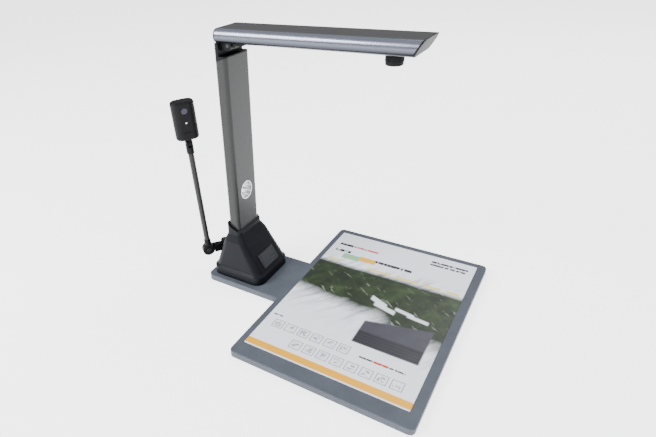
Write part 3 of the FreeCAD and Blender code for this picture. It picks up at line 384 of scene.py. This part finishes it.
def polishedPocket():
    # a smooth bright dish with faint turning rings
    look = pocketFinish
    graph = Graph("pocket")
    low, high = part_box("lens_pocket")
    middle = [(a + b) / 2 for a, b in zip(low, high)]
    centred = graph.node("VectorMath", {"operation": "SUBTRACT"}, {0: graph.place, 1: middle})
    rings = graph.node("TexWave", {"wave_type": "RINGS", "rings_direction": "X"},
                       {"Vector": centred, "Scale": look["rings"], "Distortion": look["wobble"]})
    tint = graph.mix(rings, look["dark"], look["pale"])
    return graph.finish(Base_Color=tint, Metallic=1.0,
                        Roughness=graph.ramp(rings, 0, 1, *look["rough"]),
                        Normal=graph.bump(rings, look["ringDepth"] * mm))


rubberFinish = {"dark": (0.018, 0.018, 0.018), "pale": (0.035, 0.034, 0.033), "specks": 900,
                "rough": 0.8, "depth": 0.08}


def rubber():
    look = rubberFinish
    graph = Graph("rubber")
    speck = graph.noise(look["specks"])
    tint = graph.mix(speck, look["dark"], look["pale"])
    return graph.finish(Base_Color=tint, Roughness=look["rough"],
                        Normal=graph.bump(speck, look["depth"] * mm))


paints = {
    # colour and roughness
    "frame": ((0.02, 0.02, 0.022), 0.45),
    "stalk": ((0.004, 0.004, 0.0045), 0.36),
}
paintLook = {"peelScale": 600, "peelDepth": 0.03, "edge": 0.3, "cloudScale": 40, "pale": 1.5,
             "wear": 0.4, "wearShade": 5, "glossAbove": 0.1, "specular": 0.35}


def coated(name):
    # painted metal with a faint orange peel
    colour, rough = paints[name]
    look = paintLook
    graph = Graph(name)
    peel = graph.noise(look["peelScale"], 2)
    soft = graph.rounded(look["edge"] * mm)
    tint = graph.mix(graph.noise(look["cloudScale"]), colour, shade(colour, look["pale"]))
    worn = graph.edges(soft) * look["wear"]
    tint = graph.mix(worn, tint, shade(colour, look["wearShade"]))
    gloss = graph.ramp(peel, 0.3, 0.7, rough, rough + look["glossAbove"])
    return graph.finish(Base_Color=tint, Roughness=gloss, Specular_IOR_Level=look["specular"],
                        Normal=graph.bump(peel, look["peelDepth"] * mm, soft))


circuitFinish = {"mask": (0.012, 0.08, 0.035), "track": (0.05, 0.2, 0.09), "cells": 420.0,
                 "width": 0.22, "rough": 0.4, "depth": 0.05}


def circuit():
    # a green board with paler blocks of track under its mask
    look = circuitFinish
    graph = Graph("circuit")
    cells = graph.node("TexVoronoi", {"distance": "MANHATTAN"},
                       {"Vector": graph.place, "Scale": look["cells"]})
    tint = graph.mix(cells < look["width"], look["mask"], look["track"])
    return graph.finish(Base_Color=tint, Roughness=look["rough"],
                        Normal=graph.bump(cells, look["depth"] * mm))


glassFinish = {"dark": (0.006, 0.007, 0.016), "cast": (0.025, 0.014, 0.05), "castScale": 120,
               "smearScale": 160, "rough": (0.05, 0.14), "specular": 0.35}


def lensGlass():
    # dark coated glass with a violet cast that thickens in patches
    look = glassFinish
    graph = Graph("lens")
    cast = graph.noise(look["castScale"], 2)
    tint = graph.mix(graph.ramp(cast, 0.35, 0.65), look["dark"], look["cast"])
    smear = graph.noise(look["smearScale"])
    return graph.finish(Base_Color=tint, Roughness=graph.ramp(smear, 0.4, 0.8, *look["rough"]),
                        Specular_IOR_Level=look["specular"])


sensorFinish = {"dark": (0.02, 0.02, 0.04), "pale": (0.05, 0.03, 0.08), "cells": 4000.0,
                "rough": 0.2}


def sensorChip():
    # a fine grid of light cells
    look = sensorFinish
    graph = Graph("sensor")
    cells = {"Vector": graph.place, "Scale": look["cells"]}
    grid = graph.node("TexChecker", values=cells, out=1)
    tint = graph.mix(grid, look["dark"], look["pale"])
    return graph.finish(Base_Color=tint, Roughness=look["rough"])


windowFinish = {"dark": (0.62, 0.65, 0.68), "pale": (0.8, 0.82, 0.84), "grain": 1400,
                "rough": 0.4, "depth": 0.04}


def frosted():
    # milky plastic that spreads light
    look = windowFinish
    graph = Graph("window")
    grain = graph.noise(look["grain"], 2)
    tint = graph.mix(grain, look["dark"], look["pale"])
    return graph.finish(Base_Color=tint, Roughness=look["rough"],
                        Normal=graph.bump(grain, look["depth"] * mm))


platePrint = {
    "film": (0.014, 0.016, 0.019), "bar": (0.05, 0.053, 0.057), "bars": 6, "pitch": 3.0,
    "thick": 0.9, "margin": 4.0, "ends": (30, 26, 28, 19, 27, 22), "start": 0.8, "soft": 0.2,
    "scuffs": 300, "rough": (0.28, 0.4), "depth": 0.01,
}


def ratingPlate():
    # satin film with plain bars of uneven length and nothing written on it
    graph = Graph("plate")
    look = platePrint
    low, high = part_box("name_plate")
    x, y, z = graph.axes()
    across = (y - low[1]) / mm
    down = (high[2] - z) / (high[2] - low[2]) * (look["bars"] * look["pitch"] + look["pitch"])
    ink = 0
    for row, end in enumerate(look["ends"]):
        top = look["pitch"] * (row + look["start"])
        line = graph.band(down, top, top + look["thick"], look["soft"])
        ink = line * graph.band(across, look["margin"], look["margin"] + end, look["soft"]) + ink
    scuff = graph.noise(look["scuffs"], 4)
    tint = graph.mix(ink * graph.ramp(scuff, 0.3, 0.6, 0.5, 1), look["film"], look["bar"])
    return graph.finish(Base_Color=tint, Roughness=graph.ramp(scuff, 0.3, 0.7, *look["rough"]),
                        Normal=graph.bump(scuff, look["depth"] * mm))


# The printed sheet is a plain layout of bands, bars and boxes, with no words and no picture.
# Every place on it is in millimetres from its near left corner.
sheetPrint = {
    "paper": (0.86, 0.88, 0.95), "shadow": (0.008, 0.014, 0.006), "leaf": (0.05, 0.085, 0.022),
    "glint": (0.26, 0.3, 0.24), "mist": (0.12, 0.11, 0.19), "stripe": (0.8, 0.38, 0.008),
    "ink": (0.02, 0.022, 0.03), "box": (0.016, 0.016, 0.022), "boxTop": (0.055, 0.054, 0.072),
    "bandTop": 214, "bandLeft": 146, "bandRight": 100, "stripeSpan": (1.8, 12.2),
    "blackBar": (0.012, 0.013, 0.018), "warmBar": (0.5, 0.03, 0.015),
    "goldBar": (0.8, 0.42, 0.04), "greenBar": (0.25, 0.5, 0.28), "chip": (0.8, 0.66, 0.16),
    "wobble": 55, "mistDeep": 58, "mistRise": 26, "fadeBelow": 20, "fadeAbove": 10,
    "topFade": (4, -6), "topWobble": 0.12, "leafSoft": 1.2, "chipSoft": 0.5,
    "rough": (0.3, 0.42), "specular": 0.3,
}
# slant in degrees, blades per metre and how bare each layer of leaves is
leafLayers = [(24, 62, 0.44), (-42, 50, 0.48), (78, 85, 0.5)]
printedBars = [
    # left, bottom, length, height, breaks per metre, colour
    (9, 262, 22, 5.5, 260, "blackBar"), (32, 263, 40, 4, 300, "warmBar"),
    (9, 244, 25, 6, 260, "blackBar"), (26, 229, 28, 13, 120, "greenBar"),
    (52, 232, 26, 12, 130, "goldBar"), (76, 238, 56, 6, 260, "blackBar"),
    (149, 279, 52, 4.5, 330, "blackBar"), (149, 272, 50, 4, 400, "blackBar"),
    (5, 64, 14, 2.2, 500, "blackBar"), (133, 46, 17, 2.6, 420, "blackBar"),
    (151, 45.6, 18, 3.4, 300, "warmBar"), (170, 46, 19, 2.4, 420, "blackBar"),
]
printedChips = [(9, 20), (72, 37), (114, 35), (157, 22), (187, 17)]
chipSpan = (216.2, 221.4)
iconRows = [(42.5, 13, 6), (19.5, 51, 8)]     # bottom, left, how many
icon = {"pitch": 18.3, "size": 14.6, "line": 0.95, "mark": (3.0, 11.6), "start": 0.3,
        "soft": 0.2, "markSoft": 0.5, "marks": 330, "markInk": 0.75, "ink": 0.8}
paleLeaves = [(104, 155, 24, 9, -24), (112, 145, 30, 8, -14), (140, 148, 26, 6, -10),
              (158, 142, 28, 6, -6)]           # left, bottom, length, height, slant in degrees


def slab(graph, across, up, left, bottom, long, high, soft=0.3):
    return graph.band(across, left, left + long, soft) * graph.band(up, bottom, bottom + high, soft)


def foliage(graph):
    # soft blades at several slants over a dark ground, with a few pale glints
    look = sheetPrint
    tint = look["shadow"]
    for slant, fine, cover in leafLayers:
        place = graph.mapped((fine, fine * 0.16, 1), (0, 0, slant))
        blades = graph.noise(1.0, 5, 0.6, place)
        tint = graph.mix(graph.ramp(blades, cover, cover + 0.32, 0, 0.8), tint, look["leaf"])
    clouds = graph.ramp(graph.noise(24, 2), 0.35, 0.65)
    tint = graph.mix(clouds * 0.75, tint, look["shadow"])
    glints = graph.noise(1.0, 4, 0.6, graph.mapped((150, 34, 1), (0, 0, -52)))
    return graph.mix(graph.ramp(glints, 0.6, 0.7, 0, 0.7), tint, look["glint"])


def printedSheet():
    graph = Graph("printedSheet")
    look = sheetPrint
    low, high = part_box("document_mat")
    x, y, z = graph.axes()
    across = (x - low[0]) / mm
    up = (y - low[1]) / mm
    page = graph.mix(graph.noise(5), look["paper"], shade(look["paper"], 0.95))
    wobble = (graph.noise(16, 4) - 0.5) * look["wobble"]
    sheetWide = 210
    bandTop = look["bandTop"]
    lower = graph.ramp(across, 0, sheetWide, look["bandLeft"], look["bandRight"]) + wobble
    mist = graph.ramp(up, lower - look["mistDeep"], lower)
    mist = mist * graph.ramp(up, bandTop + look["mistRise"], bandTop)
    streaks = graph.noise(1.0, 4, 0.6, graph.mapped((110, 16, 1), (0, 0, 35)))
    page = graph.mix(mist * graph.ramp(streaks, 0.46, 0.66) * 0.8, page, look["mist"])
    cover = graph.ramp(up, lower - look["fadeBelow"], lower + look["fadeAbove"])
    start, end = [bandTop + fade for fade in look["topFade"]]
    cover = cover * graph.ramp(up + wobble * look["topWobble"], start, end)
    page = graph.mix(cover, page, foliage(graph))
    for left, bottom, long, tall, slant in paleLeaves:
        slope = math.tan(math.radians(slant))
        leaf = slab(graph, across, up - across * slope, left, bottom - left * slope, long, tall,
                    look["leafSoft"])
        page = graph.mix(leaf * 0.85, page, look["paper"])
    page = graph.mix(plainBox(graph, across, up), page, boxTint(graph, up))
    for left, bottom, long, tall, breaks, colour in printedBars:
        ink = slab(graph, across, up, left, bottom, long, tall)
        broken = graph.noise(breaks, 1, 0.5, graph.mapped((1, 0.35, 1)))
        page = graph.mix(ink * graph.ramp(broken, 0.34, 0.44), page, look[colour])
    for left, long in printedChips:
        chip = slab(graph, across, up, left, chipSpan[0], long, chipSpan[1] - chipSpan[0],
                    look["chipSoft"])
        page = graph.mix(chip * 0.9, page, look["chip"])
    page = graph.mix(iconBoxes(graph, across, up), page, look["ink"])
    page = graph.mix(graph.band(up, *look["stripeSpan"]), page, look["stripe"])
    rough = graph.ramp(graph.noise(60, 4), 0.3, 0.8, *look["rough"])
    return graph.finish(Base_Color=page, Roughness=rough, Specular_IOR_Level=look["specular"])


boxPlace = {"left": 114, "right": 197, "bottom": 67, "top": 110, "slant": 0.24, "rise": 91,
            "ridges": 5.2}


def plainBox(graph, across, up):
    # a plain slanted grey block
    look = boxPlace
    rise = up - (across - look["left"]) * look["slant"]
    height = graph.ramp(up, look["bottom"] - 1, look["bottom"] + 1) * graph.ramp(
        rise, look["top"] + 2, look["top"] - 1)
    return graph.band(across, look["left"], look["right"], 1) * height


def boxTint(graph, up):
    look = sheetPrint
    lit = graph.ramp(up, boxPlace["rise"] - 1, boxPlace["rise"] + 1)
    ridge = graph.maths("FLOORED_MODULO", up, boxPlace["ridges"])
    front = graph.mix(graph.band(ridge, 1, 1.8, 0.5) * 0.5, look["box"], look["boxTop"])
    tint = graph.mix(lit, front, look["boxTop"])
    return graph.mix(graph.noise(50) * 0.6, tint, look["box"])


def iconBoxes(graph, across, up):
    # rows of outlined squares with a small plain mark in each
    total = 0
    for bottom, left, count in iconRows:
        phase = graph.maths("FLOORED_MODULO", across - left, icon["pitch"])
        rise = up - bottom
        inner = icon["size"] - icon["line"]
        outline = slab(graph, phase, rise, icon["start"], 0, icon["size"], icon["size"],
                       icon["soft"])
        hollow = slab(graph, phase, rise, icon["start"] + icon["line"], icon["line"],
                      inner - icon["line"], inner - icon["line"], icon["soft"])
        low, high = icon["mark"]
        speck = graph.ramp(graph.noise(icon["marks"], 1), 0.46, 0.54)
        mark = slab(graph, phase, rise, low, low, high - low, high - low, icon["markSoft"])
        row = graph.band(across, left, left + count * icon["pitch"], icon["soft"])
        total = (outline - hollow + mark * speck * icon["markInk"]) * row + total
    return total * icon["ink"]


def makeMaterials():
    made = {name: moulded(name) for name in plastics}
    made.update({name: drawn(name) for name in metals})
    made["arm"] = armMetal()
    made["pocket"] = polishedPocket()
    made["rubber"] = rubber()
    made.update({name: coated(name) for name in paints})
    made["circuit"] = circuit()
    made["lens"] = lensGlass()
    made["sensor"] = sensorChip()
    made["window"] = frosted()
    made["plate"] = ratingPlate()
    made["mat"] = printedSheet()
    return made


def dressNodes():
    for row in frame["record"]["subparts"]:
        node = nodes[row["node"]]
        node.data.materials.clear()
        node.data.materials.append(materials[row["material_slot"]])


class Tree:
    # a Geometry Nodes tree with named inputs, which ends in one plain mesh
    def __init__(self, name, inputs):
        self.tree = bpy.data.node_groups.new(name, "GeometryNodeTree")
        self.ids = {}
        for label, kind in inputs.items():
            socket = self.tree.interface.new_socket(label, in_out="INPUT",
                                                    socket_type="NodeSocket" + kind)
            self.ids[label] = socket.identifier
        self.tree.interface.new_socket("Geometry", in_out="OUTPUT",
                                       socket_type="NodeSocketGeometry")
        self.entry = self.tree.nodes.new("NodeGroupInput")

    def given(self, label):
        return self.entry.outputs[label]

    def node(self, kind, settings=None, values=None, out=0):
        node = self.tree.nodes.new(kind)
        for name, value in (settings or {}).items():
            setattr(node, name, value)
        for name, value in (values or {}).items():
            if isinstance(value, bpy.types.NodeSocket):
                self.tree.links.new(value, node.inputs[name])
            else:
                node.inputs[name].default_value = value
        return node.outputs[out]

    def close(self, geometry):
        real = self.node("GeometryNodeRealizeInstances", values={0: geometry})
        dressed = self.node("GeometryNodeSetMaterial",
                            values={"Geometry": real, "Material": self.given("Material")})
        end = self.tree.nodes.new("NodeGroupOutput")
        self.tree.links.new(dressed, end.inputs[0])


def grown(name, tree, values, matrix):
    # run a tree on an empty mesh, and keep the result as a plain mesh in its place
    holder = bpy.data.objects.new(name + "Holder", bpy.data.meshes.new(name + "Holder"))
    bpy.context.scene.collection.objects.link(holder)
    modifier = holder.modifiers.new("grow", "NODES")
    modifier.node_group = tree.tree
    for label, value in values.items():
        modifier[tree.ids[label]] = value
    evaluated = holder.evaluated_get(bpy.context.evaluated_depsgraph_get())
    mesh = bpy.data.meshes.new_from_object(evaluated)
    mesh.name = name
    mesh.transform(matrix)
    bpy.data.objects.remove(holder)
    piece = bpy.data.objects.new(name, mesh)
    bpy.context.scene.collection.objects.link(piece)
    return piece


def ribRingTree():
    # upright ribs around a ring, each a small rounded bar that faces outwards
    tree = Tree("ribRing", {"Ribs": "Int", "Radius": "Float", "Size": "Vector",
                            "Material": "Material"})
    ring = tree.node("GeometryNodeMeshCircle",
                     values={"Vertices": tree.given("Ribs"), "Radius": tree.given("Radius")})
    bar = tree.node("GeometryNodeMeshCube", values={"Size": tree.given("Size"), "Vertices X": 2})
    outward = tree.node("GeometryNodeInputPosition")
    turn = tree.node("FunctionNodeAlignRotationToVector", {"axis": "X"}, {"Vector": outward})
    ribs = tree.node("GeometryNodeInstanceOnPoints",
                     values={"Points": ring, "Instance": bar, "Rotation": turn})
    tree.close(ribs)
    return tree


ribRings = {
    # carrying node, body, ribs, rib stand-out, width and height, and drop from its top, in mm
    "lensGrip": ("lens_barrel", "arm", 54, 0.7, 0.55, 5.0, 9.5),
}


def addRibs():
    tree = ribRingTree()
    for name, (node, body, ribs, proud, wide, tall, drop) in ribRings.items():
        low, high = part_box(node)
        middle = [(a + b) / 2 for a, b in zip(low, high)]
        radius = barrelRadius(node, high[2] - drop * mm, middle)
        place = Matrix.Translation((middle[0], middle[1], high[2] - drop * mm))
        piece = grown(name, tree, {"Ribs": ribs, "Radius": radius,
                                   "Size": (proud * mm, wide * mm, tall * mm),
                                   "Material": materials["black_plastic"]}, place)
        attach(piece, body)


def barrelRadius(node, height, middle):
    # how far the node's wall stands from its axis below a height
    corners = [corner.co for corner in nodes[node].data.vertices if corner.co.z < height]
    return max(math.hypot(corner.x - middle[0], corner.y - middle[1]) for corner in corners)


def ridgeRowTree():
    # a straight row of thin bars
    tree = Tree("ridgeRow", {"Ridges": "Int", "Pitch": "Vector", "Size": "Vector",
                             "Material": "Material"})
    line = tree.node("GeometryNodeMeshLine", values={"Count": tree.given("Ridges"),
                                                     "Offset": tree.given("Pitch")})
    bar = tree.node("GeometryNodeMeshCube", values={"Size": tree.given("Size")})
    row = tree.node("GeometryNodeInstanceOnPoints", values={"Points": line, "Instance": bar})
    tree.close(row)
    return tree


ridges = {"count": 17, "width": 0.7, "proud": 0.5, "windowWide": 6.0, "margin": 1.0}


def addWindowRidges():
    # fine ridges that spread the light of the two windows beside the lens
    tree = ridgeRowTree()
    low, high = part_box("light_windows")
    length = high[0] - low[0] - 2 * ridges["margin"] * mm
    pitch = length / (ridges["count"] - 1)
    offset = (ridges["windowWide"] / 2) * mm
    for side, y in (("near", low[1] + offset), ("far", high[1] - offset)):
        place = Matrix.Translation((low[0] + ridges["margin"] * mm, y, low[2]))
        size = (ridges["width"] * mm, (ridges["windowWide"] - ridges["margin"]) * mm,
                ridges["proud"] * mm)
        piece = grown(side + "WindowRidges", tree,
                      {"Ridges": ridges["count"], "Pitch": (pitch, 0, 0), "Size": size,
                       "Material": materials["window"]}, place)
        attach(piece, "arm")


addCamera()
addStudio()
print("camera, lights and floor are in place")
materials = makeMaterials()
dressNodes()
print("materials:", len(materials))
addRibs()
addWindowRidges()
print("lens grip and window ridges are on")
